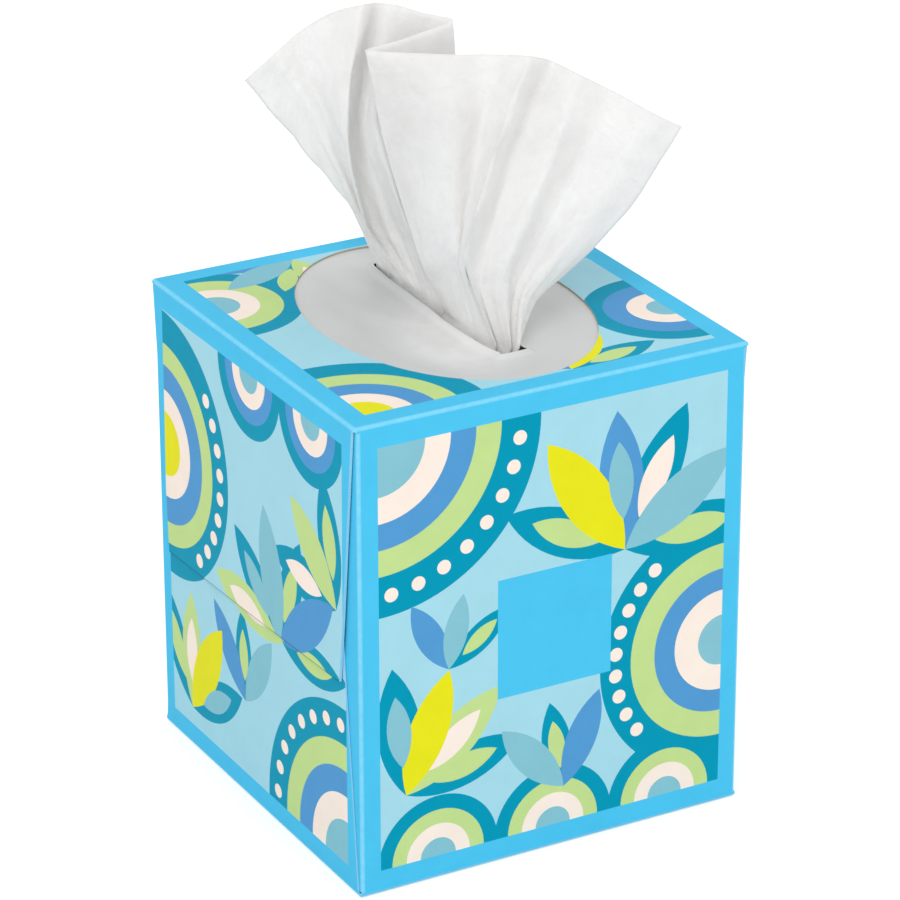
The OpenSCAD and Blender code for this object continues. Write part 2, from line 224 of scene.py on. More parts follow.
@dataclass(frozen=True)
class BareBoard(Finish):
    """Recycled board where it is cut or uncoated: matte, brownish grey and speckled with fibres."""

    light: str
    dark: str
    fibre_mm: float = 0.5

    def shade(self, tree: Tree) -> Socket:
        """Draws the surface."""
        place = add_node(tree, "ShaderNodeTexCoord").outputs["Object"]
        fibre = add_node(tree, "ShaderNodeTexNoise", {
            "Vector": place, "Scale": 1 / (self.fibre_mm * MM), "Detail": 5.0, "Roughness": 0.7})
        colour = add_node(tree, "ShaderNodeMix", {
            "Factor": fibre.outputs["Fac"], 6: linear(self.dark), 7: linear(self.light)},
            data_type="RGBA")
        bump = add_node(tree, "ShaderNodeBump", {
            "Height": fibre.outputs["Fac"], "Strength": 0.4, "Distance": 0.08 * MM})
        shader = add_node(tree, "ShaderNodeBsdfPrincipled", {
            "Base Color": colour.outputs[2], "Roughness": 0.9, "Normal": bump.outputs["Normal"]})
        return shader.outputs[0]


@dataclass(frozen=True)
class MilkyFilm(Finish):
    """Blown polyethylene film, 50 microns thick: milky and limp, its gloss broken by faint creases.

    It is painted lighter beside the slit: a painted pool of light, standing also for the white tissues
    seen through it from below. That patch fades out from its middle over half a width, depth and height,
    and its shift is counted in those.
    """

    name: str = "blown_polyethylene_film"
    colour: str = "#D2D4D4"
    cloudy: str = "#C8CACA"
    lit: str = "#F0F0EF"
    roughness: float = 0.38
    ior: float = 1.51
    gloss: float = 0.3
    cloud_mm: float = 26.0
    patch_mm: float = 10.0
    crinkle_mm: float = 6.0
    lit_halves_mm: Triple = (18.0, 32.0, 35.0)
    lit_shift: Triple = (0.48, 0.30, -3.6)
    lit_turn: float = -14.0

    def shade(self, tree: Tree) -> Socket:
        """Draws the surface."""
        place = add_node(tree, "ShaderNodeTexCoord").outputs["Object"]
        cloud = add_node(tree, "ShaderNodeTexNoise", {
            "Vector": place, "Scale": 1 / (self.cloud_mm * MM), "Detail": 2.0})
        tint = add_node(tree, "ShaderNodeMix", {
            "Factor": cloud.outputs["Fac"], 6: linear(self.cloudy), 7: linear(self.colour)},
            data_type="RGBA")
        # Painted pool of light beside the slit, fading out from its middle
        lit_patch = add_node(tree, "ShaderNodeMapping", {
            "Vector": place, "Location": self.lit_shift, "Rotation": (0, 0, math.radians(self.lit_turn)),
            "Scale": tuple(1 / (half * MM) for half in self.lit_halves_mm)})
        glow = add_node(tree, "ShaderNodeTexGradient", {"Vector": lit_patch.outputs[0]},
                        gradient_type="SPHERICAL")
        patchy = add_node(tree, "ShaderNodeTexNoise", {
            "Vector": place, "Scale": 1 / (self.patch_mm * MM), "Detail": 3.0, "Distortion": 0.5})
        share = add_node(tree, "ShaderNodeMapRange", {
            "Value": patchy.outputs["Fac"], "From Min": 0.3, "From Max": 0.7,
            "To Min": 0.7, "To Max": 1.4})
        # How much of the painted light is mixed in, made patchy
        under = add_node(tree, "ShaderNodeMath", {
            0: glow.outputs["Fac"], 1: share.outputs["Result"]}, operation="MULTIPLY", use_clamp=True)
        tint = add_node(tree, "ShaderNodeMix", {
            "Factor": under.outputs[0], 6: tint.outputs[2], 7: linear(self.lit)}, data_type="RGBA")
        crinkle = add_node(tree, "ShaderNodeTexNoise", {
            "Vector": place, "Scale": 1 / (self.crinkle_mm * MM), "Detail": 3.0, "Distortion": 0.6})
        bump = add_node(tree, "ShaderNodeBump", {
            "Height": crinkle.outputs["Fac"], "Strength": 0.35, "Distance": 0.5 * MM})
        shader = add_node(tree, "ShaderNodeBsdfPrincipled", {
            "Base Color": tint.outputs[2], "Roughness": self.roughness, "IOR": self.ior,
            "Specular IOR Level": self.gloss, "Normal": bump.outputs["Normal"]})
        return shader.outputs[0]


@dataclass(frozen=True)
class TissuePaper(Finish):
    """Creped facial tissue of three plies: soft, matte, white, and light passes into it and out again.

    Creping leaves fine ridges across the sheet. Real ones are 0.3 mm apart, and are drawn coarser to
    show. The fibres lie unevenly, which makes thin paper cloudy. Light spreads a few plies deep.
    """

    name: str = "creped_facial_tissue"
    colour: str = "#F0EEEC"
    thin: str = "#E3E1E0"
    cloud_mm: float = 11.0
    ridge_mm: float = 0.9
    crumple_mm: float = 5.0
    scatter_mm: float = 1.2

    def shade(self, tree: Tree) -> Socket:
        """Draws the surface."""
        sheet = add_node(tree, "ShaderNodeUVMap", uv_map="sheet").outputs[0]
        stretched = add_node(tree, "ShaderNodeMapping", {"Vector": sheet, "Scale": (1.0, 4.0, 1.0)})
        ridges = add_node(tree, "ShaderNodeTexNoise", {
            "Vector": stretched.outputs[0], "Scale": 1 / (4 * self.ridge_mm), "Detail": 3.0,
            "Roughness": 0.6})
        crumple = add_node(tree, "ShaderNodeTexNoise", {
            "Vector": sheet, "Scale": 1 / self.crumple_mm, "Detail": 4.0, "Distortion": 0.8})
        cloud = add_node(tree, "ShaderNodeTexNoise", {
            "Vector": sheet, "Scale": 1 / self.cloud_mm, "Detail": 6.0, "Roughness": 0.62})
        formation = add_node(tree, "ShaderNodeMapRange", {
            "Value": cloud.outputs["Fac"], "From Min": 0.32, "From Max": 0.68})
        tint = add_node(tree, "ShaderNodeMix", {
            "Factor": formation.outputs["Result"], 6: linear(self.thin), 7: linear(self.colour)},
            data_type="RGBA")
        soft = add_node(tree, "ShaderNodeBump", {
            "Height": crumple.outputs["Fac"], "Strength": 0.5, "Distance": 1.0 * MM})
        bump = add_node(tree, "ShaderNodeBump", {
            "Height": ridges.outputs["Fac"], "Strength": 0.35, "Distance": 0.25 * MM,
            "Normal": soft.outputs["Normal"]})
        shader = add_node(tree, "ShaderNodeBsdfPrincipled", {
            "Base Color": tint.outputs[2], "Roughness": 0.95, "Specular IOR Level": 0.1,
            "Subsurface Weight": 0.9, "Subsurface Radius": (1.0, 1.0, 1.0),
            "Subsurface Scale": self.scatter_mm * MM, "Normal": bump.outputs["Normal"]})
        return shader.outputs[0]


@dataclass(frozen=True)
class StackedTissue(Finish):
    """The clip's outside: creped tissue, with the sheets' edges as fine lines one above another.

    A wave texture of scale 1 repeats every 0.314 m, which makes its scale for lines a sheet apart.
    """

    name: str = "interfolded_tissue_clip"
    colour: str = "#F2F2F1"
    sheet_mm: float = 1.6
    wave_repeat: float = 0.314

    def shade(self, tree: Tree) -> Socket:
        """Draws the surface."""
        place = add_node(tree, "ShaderNodeTexCoord").outputs["Object"]
        layers = add_node(tree, "ShaderNodeTexWave", {
            "Vector": place, "Scale": self.wave_repeat / (self.sheet_mm * MM), "Distortion": 1.5,
            "Detail": 2.0}, bands_direction="Z")
        bump = add_node(tree, "ShaderNodeBump", {
            "Height": layers.outputs["Fac"], "Strength": 0.4, "Distance": 0.4 * MM})
        shader = add_node(tree, "ShaderNodeBsdfPrincipled", {
            "Base Color": linear(self.colour), "Roughness": 0.95, "Normal": bump.outputs["Normal"]})
        return shader.outputs[0]


@dataclass(frozen=True)
class PaperSweep(Finish):
    """White paper sweep under the object: matte, and lit up a little where the camera looks at it."""

    name: str = "white_paper_sweep"
    colour: str = "#F4F4F4"
    glow: float = 0.36

    def shade(self, tree: Tree) -> Socket:
        """Draws the surface."""
        path = add_node(tree, "ShaderNodeLightPath")
        diffuse = add_node(tree, "ShaderNodeBsdfDiffuse", {"Color": linear(self.colour)})
        glow = add_node(tree, "ShaderNodeEmission", {"Color": linear("#FFFFFF"), "Strength": self.glow})
        both = add_node(tree, "ShaderNodeAddShader", {0: diffuse.outputs[0], 1: glow.outputs[0]})
        seen = add_node(tree, "ShaderNodeMixShader", {
            0: path.outputs["Is Camera Ray"], 1: diffuse.outputs[0], 2: both.outputs[0]})
        return seen.outputs[0]


# Print

# Radius of a cream dot, and where on a leaf its core starts and how long it is, as shares of the leaf
DOT = 1.9
CORE_START, CORE_LENGTH = 0.22, 0.56


@dataclass(frozen=True)
class Sun:
    """Nested discs round one middle, with a radius for each ink pass after the first, or 0 for none."""

    x: float
    y: float
    radii: tuple[float, ...]

    def outlines(self) -> list[tuple[int, np.ndarray]]:
        """Gives each disc's pass and outline: points at even angles round the middle.

        They start half a step round, so that none falls on the edge of the print. A larger disc has more.
        """
        found = []
        for number, radius in enumerate(self.radii, start=1):
            if radius > 0:
                count = 4 * int(5 + 0.6 * radius)
                turn = (np.arange(count) + 0.5) * 2 * np.pi / count
                ring = np.column_stack([np.cos(turn), np.sin(turn)]) * radius + (self.x, self.y)
                found.append((number, ring))
        return found

    def covers(self, number: int, points: np.ndarray) -> np.ndarray:
        """Says which points lie in this sun's disc of one pass."""
        distance = np.hypot(points[:, 0] - self.x, points[:, 1] - self.y)
        return distance < self.radii[number - 1]


@dataclass(frozen=True)
class Leaf:
    """Leaf from its stalk at x and y: the lens where two discs overlap."""

    x: float
    y: float
    turn: float
    length: float
    number: int
    slimness: float = 3.0
    steps: int = 14

    def axes(self) -> np.ndarray:
        """Gives the directions along and across the leaf, one a row."""
        c, s = math.cos(math.radians(self.turn)), math.sin(math.radians(self.turn))
        return np.array([[c, s], [-s, c]])

    def lens(self) -> tuple[float, float]:
        """Gives the arcs' radius and how far their middles lie from the leaf's own line."""
        width = self.length / self.slimness
        radius = (self.length ** 2 + width ** 2) / (4 * width)
        return radius, radius - width / 2

    def outlines(self) -> list[tuple[int, np.ndarray]]:
        """Gives the pass and the outline: one arc out to the tip and one back."""
        radius, offset = self.lens()
        along = np.linspace(0, 1, self.steps + 1)[:-1] * self.length
        side = np.sqrt(radius ** 2 - (along - self.length / 2) ** 2) - offset
        out = np.column_stack([along, side])
        back = np.column_stack([self.length - along, -side])
        return [(self.number, np.vstack([out, back]) @ self.axes() + (self.x, self.y))]

    def covers(self, number: int, points: np.ndarray) -> np.ndarray:
        """Says which points lie in the leaf, if it is of that pass."""
        if number != self.number:
            return np.zeros(len(points), bool)
        own = (points - (self.x, self.y)) @ self.axes().T
        radius, offset = self.lens()
        near = np.hypot(own[:, 0] - self.length / 2, np.abs(own[:, 1]) + offset)
        return near < radius


def dots(x: float, y: float, r: float, start: float, stop: float, step: float) -> list[Sun]:
    """Gives cream dots on an arc of radius r round x and y, from one angle to another."""
    turns = np.radians(np.arange(start, stop + 1e-6, step))
    return [Sun(x + r * math.cos(a), y + r * math.sin(a), (0, 0, 0, DOT, 0, 0)) for a in turns]


def spray(x: float, y: float, turn: float, step: float, length: float,
          passes: tuple[int, ...], cores: tuple[int, ...]) -> list[Leaf]:
    """Gives leaves fanned out from one stalk, every other one 2 mm shorter.

    Args:
        x: the stalk's place.
        y: the stalk's place.
        turn: the first leaf's angle.
        step: the angle from one leaf to the next.
        length: the first leaf's.
        passes: the ink pass of each leaf.
        cores: the ink pass of the smaller leaf inside each, or 0 for none.

    Returns:
        The leaves, each with its core after it.
    """
    leaves = []
    for i, (number, core) in enumerate(zip(passes, cores)):
        angle, size = turn + step * i, length - 2 * (i % 2)
        leaves.append(Leaf(x, y, angle, size, number))
        if core:
            way, start = math.radians(angle), CORE_START * size
            leaves.append(Leaf(x + start * math.cos(way), y + start * math.sin(way), angle,
                               CORE_LENGTH * size, core))
    return leaves


@dataclass(frozen=True)
class PanelPrint:
    """A panel's print: its motifs, the rectangle they are clipped to, and a rectangle left blank."""

    half_width: float
    half_height: float
    motifs: tuple[Sun | Leaf, ...]
    blank: tuple[float, float, float, float] | None = None

    def segments(self) -> tuple[np.ndarray, np.ndarray]:
        """Gives the ends of all outline segments, clipped to the printed rectangle.

        Each segment is kept between the parameters at which it enters and leaves the four half planes
        that bound the rectangle.

        Returns:
            Two arrays of points, the segments' starts and ends.
        """
        starts, ends = [], []
        for motif in self.motifs:
            for _, ring in motif.outlines():
                starts.append(ring)
                ends.append(np.roll(ring, -1, axis=0))
        a, b = np.vstack(starts), np.vstack(ends)
        enter, leave = np.zeros(len(a)), np.ones(len(a))
        for axis, half in ((0, self.half_width), (1, self.half_height)):
            run = b[:, axis] - a[:, axis]
            run = np.where(np.abs(run) < 1e-9, 1e-9, run)
            low = (-half - a[:, axis]) / run
            high = (half - a[:, axis]) / run
            enter = np.maximum(enter, np.minimum(low, high))
            leave = np.minimum(leave, np.maximum(low, high))
        kept = leave - enter > 1e-6
        a, b, enter, leave = a[kept], b[kept], enter[kept, None], leave[kept, None]
        return a + (b - a) * enter, a + (b - a) * leave

    def frames(self) -> list[np.ndarray]:
        """Gives the outlines of the printed rectangle and of the blank one."""
        w, h = self.half_width, self.half_height
        found = [np.array([(-w, -h), (w, -h), (w, h), (-w, h)])]
        if self.blank:
            x0, y0, x1, y1 = self.blank
            found.append(np.array([(x0, y0), (x1, y0), (x1, y1), (x0, y1)]))
        return found

    def ink_at(self, points: np.ndarray) -> np.ndarray:
        """Gives the number of the ink on top at each point: 0 is the border's and 1 the ground's."""
        inside = (np.abs(points[:, 0]) < self.half_width) & (np.abs(points[:, 1]) < self.half_height)
        if self.blank:
            x0, y0, x1, y1 = self.blank
            x, y = points.T
            inside &= ~((x > x0) & (x < x1) & (y > y0) & (y < y1))
        ink = np.where(inside, 1, 0)
        for number in range(1, len(PASSES)):
            for motif in self.motifs:
                ink[inside & motif.covers(number, points)] = number + 1
        return ink


# Carton

@dataclass(frozen=True)
class Place:
    """Where a flat plate lies: its middle, its right and up directions, and the way it faces."""

    middle: Triple
    right: np.ndarray
    up: np.ndarray
    facing: np.ndarray

    def put(self, flat: np.ndarray, lift: np.ndarray) -> np.ndarray:
        """Turns plate points into points of the row frame, lifted along the facing direction."""
        return (np.array(self.middle) + flat[:, :1] * self.right
                + flat[:, 1:2] * self.up + lift[:, None] * self.facing)


def in_polygon(points: np.ndarray, ring: np.ndarray) -> np.ndarray:
    """Says which points lie in a polygon: a ray to their right crosses an odd number of its edges."""
    x, y = points[:, :1], points[:, 1:2]
    ax, ay = ring[:, 0], ring[:, 1]
    bx, by = np.roll(ax, -1), np.roll(ay, -1)
    spans = (ay > y) != (by > y)
    rise = np.where(by == ay, 1e-12, by - ay)
    return (np.sum(spans & (x < ax + (y - ay) / rise * (bx - ax)), axis=1) % 2).astype(bool)


@dataclass
class Skin:
    """Outside of the board as loose triangles, which are welded at the end."""

    points: list[np.ndarray] = field(default_factory=list)
    normals: list[np.ndarray] = field(default_factory=list)
    triangles: list[np.ndarray] = field(default_factory=list)
    inks: list[np.ndarray] = field(default_factory=list)
    wear_and_painted_light: list[np.ndarray] = field(default_factory=list)
    depths: list[np.ndarray] = field(default_factory=list)
    count: int = 0

    def add(self, points: np.ndarray, normals: np.ndarray, triangles: np.ndarray,
            inks: np.ndarray, wear_and_painted_light: np.ndarray, depths: np.ndarray | float = 0.0) -> None:
        """Adds triangles, turned so that they face the way of their normals.

        Args:
            points: N by 3.
            normals: N by 3, the true surface's.
            triangles: M by 3, numbers of points.
            inks: M numbers of inks.
            wear_and_painted_light: M by 3, each corner's share of cracked coating and painted highlight,
                or below 0, how far
            a painted shadow darkens it.
            depths: N numbers, how much deeper than the board's thickness the skin's inside lies.
        """
        a, b, c = (points[triangles[:, i]] for i in range(3))
        facing = np.einsum("ij,ij->i", np.cross(b - a, c - a), normals[triangles].sum(axis=1))
        turned = facing < 0
        triangles = triangles.copy()
        wear_and_painted_light = wear_and_painted_light.copy()
        triangles[turned] = triangles[turned][:, ::-1]
        wear_and_painted_light[turned] = wear_and_painted_light[turned][:, ::-1]
        self.points.append(points)
        self.normals.append(normals)
        self.triangles.append(triangles + self.count)
        self.inks.append(inks)
        self.wear_and_painted_light.append(wear_and_painted_light)
        self.depths.append(np.broadcast_to(depths, (len(points),)))
        self.count += len(points)

    def welded(self) -> tuple[np.ndarray, ...]:
        """Welds points that are in one place, and leaves out those that no triangle uses.

        Returns:
            Points, normals, depths, triangles, inks and wear.
        """
        points, normals = np.vstack(self.points), np.vstack(self.normals)
        key = np.round(points * WELD_STEPS).astype(np.int64)
        _, first, same = np.unique(key, axis=0, return_index=True, return_inverse=True)
        triangles = same.reshape(-1)[np.vstack(self.triangles)]
        a, b, c = triangles.T
        kept = (a != b) & (b != c) & (c != a)
        used, triangles = np.unique(triangles[kept], return_inverse=True)
        first = first[used]
        return (points[first], normals[first], np.concatenate(self.depths)[first],
                triangles.reshape(-1, 3), np.concatenate(self.inks)[kept], np.vstack(self.wear_and_painted_light)[kept])


@dataclass
class Carton:
    """The folded and glued blank, in millimetres. Sizes down to the opening's are the CAD model's.

    The board shown is a little thinner, which keeps its layers apart. A panel that swells does so by
    bulge at its middle. An outer flap's side edges are pressed in, its end stands off by flare, and the
    strip along its cut edge is painted darker by a share: a painted shadow line. A crease is painted
    lightest halfway round, and its rounded corners lighter, for cracked coating and a painted highlight.
    """

    width: float = 111.0
    depth: float = 111.0
    height: float = 127.0
    board: float = 0.46
    board_shown: float = 0.43
    crease: float = 1.0
    border: float = 6.3
    label_side: float = 32.5
    label_z: float = 62.0
    root_step: float = 1.3
    tip_step: float = 7.9
    upper_flap: float = 72.0
    upper_slant: float = 2.3
    flap_lap: float = 15.0
    dust_gap: float = 19.0
    opening_side: float = 21.0
    opening_end: float = 7.0
    opening_points: int = 160
    bulge: float = 0.35
    bulge_step: float = 8.0
    bulge_reach: float = 0.96
    pressed_in: float = 0.3
    pressed_edge: float = 0.4
    flare: float = 0.6
    cut_line: float = 0.35
    painted_edge_shadow: float = 0.7
    crease_steps: int = 8
    crease_wear_and_highlight: float = 0.7
    corner_wear_and_highlight: float = 0.8

    def prints(self) -> dict[str, PanelPrint]:
        """Lays out the prints of the front and back, the ends and the top."""
        hw, hd, hh = (size / 2 - self.border for size in (self.width, self.depth, self.height))
        front = [
            Sun(-hw, hh, (45, 34, 27, 20, 0, 13)), Sun(hw, -17, (36, 27, 20, 14, 0, 7)),
            *[Sun(x, -hh, (17, 13, 0, 9, 0, 5)) for x in (-33, 0, 33)],
            *dots(-hw, hh, 39.5, 275, 352, 11), *dots(hw, -17, 31.5, 130, 218, 11),
            *spray(20, 15, 4, 30, 40, (1, 6, 1, 3, 5, 1), (2, 0, 4, 6, 0, 2)),
            *spray(-42, -38, 96, -27, 36, (1, 5, 2, 1), (6, 0, 4, 2)),
            *spray(-30, -6, 118, -40, 22, (3, 6, 1), (0, 0, 2)),
            *spray(3, -47, 132, -32, 27, (6, 1, 3), (4, 2, 0)),
        ]
        end = [
            Sun(-hd, -hh, (43, 33, 26, 19, 0, 12)), Sun(hd, 20, (37, 28, 22, 15, 9, 0)),
            *[Sun(x, hh, (17, 0, 13, 9, 0, 5)) for x in (-33, 0)],
            *dots(-hd, -hh, 38, 5, 86, 11.5), *dots(hd, 20, 32.5, 140, 232, 11.5),
            *spray(-16, -10, 10, 33, 36, (2, 1, 6, 1, 3, 1), (4, 6, 0, 2, 0, 2)),
            *spray(38, -52, 62, 30, 36, (1, 2, 5, 1), (2, 4, 0, 6)),
            *spray(6, -36, 52, 36, 28, (3, 1, 6), (0, 2, 0)),
            *spray(-46, 12, 78, -36, 34, (1, 2, 1), (2, 0, 4)),
        ]
        top = [
            Sun(-hw, -hd, (32, 25, 19, 13, 8, 0)), Sun(hw, hd, (36, 27, 21, 15, 0, 8)),
            Sun(-hw, 30, (22, 17, 0, 11, 0, 6)), Sun(hw, -26, (21, 0, 16, 10, 0, 5)),
            *dots(hw, hd, 31.5, 184, 266, 11),
            *spray(8, -49, 12, 34, 28, (1, 5, 1, 3), (2, 0, 6, 0)),
            *spray(-18, 49, 170, 34, 28, (3, 6, 1, 2), (0, 0, 2, 4)),
        ]
        side, middle = self.label_side / 2, self.label_z - self.height / 2
        return {
            "front": PanelPrint(hw, hh, tuple(front), (-side, middle - side, side, middle + side)),
            "back": PanelPrint(hw, hh, tuple(front)),
            "end": PanelPrint(hd, hh, tuple(end)),
            "top": PanelPrint(hw, hd, tuple(top)),
        }

    def opening(self) -> np.ndarray:
        """Outline of the oval opening: points at even angles of an ellipse."""
        turn = np.linspace(0, 2 * np.pi, self.opening_points, endpoint=False)
        return np.column_stack([(self.width / 2 - self.opening_side) * np.cos(turn),
                                (self.depth / 2 - self.opening_end) * np.sin(turn)])

    def cut_up(self, outline: np.ndarray, printed: PanelPrint | None, hole: np.ndarray | None,
               swells: bool, outer: bool) -> tuple[np.ndarray, np.ndarray]:
        """Cuts a flat plate into triangles along its outline, its hole and the edges of its print.

        A plate that swells also has a grid of points to bend at, and an outer flap has a line beside its
        cut edge.

        Args:
            outline: the plate's edge, points in order.
            printed: its print, or None.
            hole: the edge of its hole, or None.
            swells: whether it swells.
            outer: whether it is an outer flap.

        Returns:
            Points of x and y, and triangles as numbers of points.
        """
        rings = [outline] + ([hole] if hole is not None else []) + (printed.frames() if printed else [])
        points, edges, count = [], [], 0
        for ring in rings:
            numbers = np.arange(len(ring)) + count
            points.append(ring)
            edges.append(np.column_stack([numbers, np.roll(numbers, -1)]))
            count += len(ring)
        if outer:
            points.append(outline[2:4] + (0, self.cut_line))
            edges.append(np.array([[count, count + 1]]))
            count += 2
        if printed:
            starts, ends = printed.segments()
            numbers = np.arange(len(starts)) + count
            points += [starts, ends]
            edges.append(np.column_stack([numbers, numbers + len(starts)]))
        if swells:
            margin = self.bulge_step / 2
            low, high = outline.min(axis=0) + margin, outline.max(axis=0) - margin
            steps = np.maximum(((high - low) / self.bulge_step).astype(int), 2)
            grid = np.stack(np.meshgrid(np.linspace(low[0], high[0], steps[0]),
                                        np.linspace(low[1], high[1], steps[1])), -1).reshape(-1, 2)
            points.append(grid[in_polygon(grid, outline * self.bulge_reach)])
        cut = geometry.delaunay_2d_cdt([Vector(p) for p in np.vstack(points)],
                                       np.vstack(edges).tolist(), [], 0, 1e-5)
        flat = np.array([tuple(v) for v in cut[0]])
        triangles = np.array([tuple(t) for t in cut[2]])
        middles = flat[triangles].mean(axis=1)
        kept = in_polygon(middles, outline)
        if hole is not None:
            kept &= ~in_polygon(middles, hole)
        return flat, triangles[kept]

    def plate(self, skin: Skin, place: Place, outline: np.ndarray, printed: PanelPrint | None = None,
              hole: np.ndarray | None = None, halves: tuple[float, float] | None = None,
              outer: bool = False) -> None:
        """Adds a flat plate.

        One with halves swells by bulge * (1 - (x/a)^2) * (1 - (y/b)^2), which is nothing at its creases.

        Args:
            skin: what it is added to.
            place: where the plate lies.
            outline: its edge, points in order.
            printed: its print, or None for the border's plain ink.
            hole: the edge of a hole.
            halves: half the panel's width and height, if it swells.
            outer: whether it is an outer flap. Its side edges are pressed in to the flap behind, its end
            stands off a little, and the strip along its cut edge is painted darker: a painted shadow
            line.
        """
        flat, triangles = self.cut_up(outline, printed, hole, halves is not None, outer)
        inks = np.zeros(len(triangles), int)
        if printed:
            inks = printed.ink_at(flat[triangles].mean(axis=1))
        lift, normals = np.zeros(len(flat)), np.tile(place.facing, (len(flat), 1))
        if halves:
            u, v = np.clip(flat[:, 0] / halves[0], -1, 1), np.clip(flat[:, 1] / halves[1], -1, 1)
            lift = self.bulge * (1 - u * u) * (1 - v * v)
            slope_x = self.bulge * 2 * u / halves[0] * (1 - v * v)
            slope_y = self.bulge * 2 * v / halves[1] * (1 - u * u)
            normals = normals + slope_x[:, None] * place.right + slope_y[:, None] * place.up
            normals /= np.linalg.norm(normals, axis=1, keepdims=True)
        depths, worn_and_painted_light = np.zeros(len(flat)), np.zeros(len(flat))
        if outer:
            root, side, other = outline[1], outline[2], outline[3]
            mirrored = np.column_stack([np.abs(flat[:, 0]), flat[:, 1]])
            depths = self.pressed_in * (self.off_line(mirrored, root, side) < self.pressed_edge)
            # Painted shadow: the strip along the outer flap's cut edge is darkened in its ink
            worn_and_painted_light = -self.painted_edge_shadow * (self.off_line(flat, side, other) < self.cut_line / 2)
            lift = lift + self.flare * ((root[1] - flat[:, 1]) / (root[1] - side[1])) ** 3
        skin.add(place.put(flat, lift), normals, triangles, inks, worn_and_painted_light[triangles], depths)

    @staticmethod
    def off_line(points: np.ndarray, a: np.ndarray, b: np.ndarray) -> np.ndarray:
        """Gives how far points lie from the line through a and b."""
        way = (b - a) / np.linalg.norm(b - a)
        return np.abs((points[:, 0] - a[0]) * way[1] - (points[:, 1] - a[1]) * way[0])

    def fold(self, skin: Skin, start: np.ndarray, end: np.ndarray,
             first: np.ndarray, second: np.ndarray) -> None:
        """Adds a crease: a quarter of a cylinder round the line from start to end.

        A point of it is the line's own plus radius * (cos(t) * first + sin(t) * second).

        Args:
            skin: what it is added to.
            start: one end of the cylinder's axis.
            end: the other end.
            first: the way the first plate faces.
            second: the way the second plate faces.
        """
        turn = np.linspace(0, np.pi / 2, self.crease_steps + 1)
        ways = np.cos(turn)[:, None] * first + np.sin(turn)[:, None] * second
        points = np.concatenate([start + self.crease * ways, end + self.crease * ways])
        n = self.crease_steps
        a = np.arange(n)
        triangles = np.vstack([np.column_stack([a, a + 1, a + n + 2]),
                               np.column_stack([a, a + n + 2, a + n + 1])])
        # The crease is painted lightest halfway round: cracked coating and a painted highlight
        worn_and_painted_light = np.tile(np.sin(2 * turn) ** self.crease_wear_and_highlight, 2)
        skin.add(points, np.vstack([ways, ways]), triangles, np.zeros(2 * n, int), worn_and_painted_light[triangles])

    def corner(self, skin: Skin, middle: np.ndarray, ways: np.ndarray) -> None:
        """Adds the rounded corner where three creases meet: an eighth of a ball.

        Args:
            skin: what it is added to.
            middle: the ball's middle.
            ways: the three directions in which it reaches, one a row.
        """
        n = self.crease_steps
        turn = np.linspace(0, np.pi / 2, n + 1)
        a, b = (side.ravel() for side in np.meshgrid(turn, turn, indexing="ij"))
        out = np.column_stack([np.cos(a) * np.cos(b), np.cos(a) * np.sin(b), np.sin(a)]) @ ways
        numbers = np.arange((n + 1) ** 2).reshape(n + 1, n + 1)
        p, q = numbers[:-1, :-1].ravel(), numbers[:-1, 1:].ravel()
        r, s = numbers[1:, 1:].ravel(), numbers[1:, :-1].ravel()
        triangles = np.vstack([np.column_stack([p, q, r]), np.column_stack([p, r, s])])
        # The corner ball is painted lighter all over: cracked coating and a painted highlight
        skin.add(middle + self.crease * out, out, triangles, np.zeros(len(triangles), int),
                 np.full((len(triangles), 3), self.corner_wear_and_highlight))

    def sleeve(self, skin: Skin, prints: dict[str, PanelPrint]) -> None:
        """Adds the top, front, bottom and back panels with the creases between them."""
        w, d, h, r = self.width / 2, self.depth / 2, self.height / 2, self.crease
        corner = w - 2 * self.board
        x, y, z = np.eye(3)

        def outline(tab: float, half: float) -> np.ndarray:
            """Plate with a tab at each end that stops short of the corners."""
            root, edge = half - self.root_step, half - r
            right = [(corner, -edge), (corner, -root), (tab, -root),
                     (tab, root), (corner, root), (corner, edge)]
            return np.array(right + [(-px, -py) for px, py in right])

        self.plate(skin, Place((0, 0, 2 * h), x, y, z), outline(w - r, d), prints["top"], self.opening())
        self.plate(skin, Place((0, 0, 0), x, -y, -z), outline(w - self.board - r, d))
        for side, name in ((-1, "front"), (1, "back")):
            self.plate(skin, Place((0, side * d, h), -side * x, z, side * y), outline(corner - r, h),
                       prints[name], halves=(corner - r, h - r))
        for side in (-1, 1):
            for level, up in ((r, -z), (2 * h - r, z)):
                line = np.array([0, side * (d - r), level])
                self.fold(skin, line - corner * x, line + corner * x, up, side * y)

    def flap_outline(self, root: float, tip: float, length: float, slant: float = 0.0) -> np.ndarray:
        """Outline of an end flap below its crease at y = 0, its cut edge turned by slant degrees."""
        rise = tip * math.tan(math.radians(slant))
        return np.array([(-root, 0), (root, 0), (tip, -length - rise), (-tip, -length + rise)])

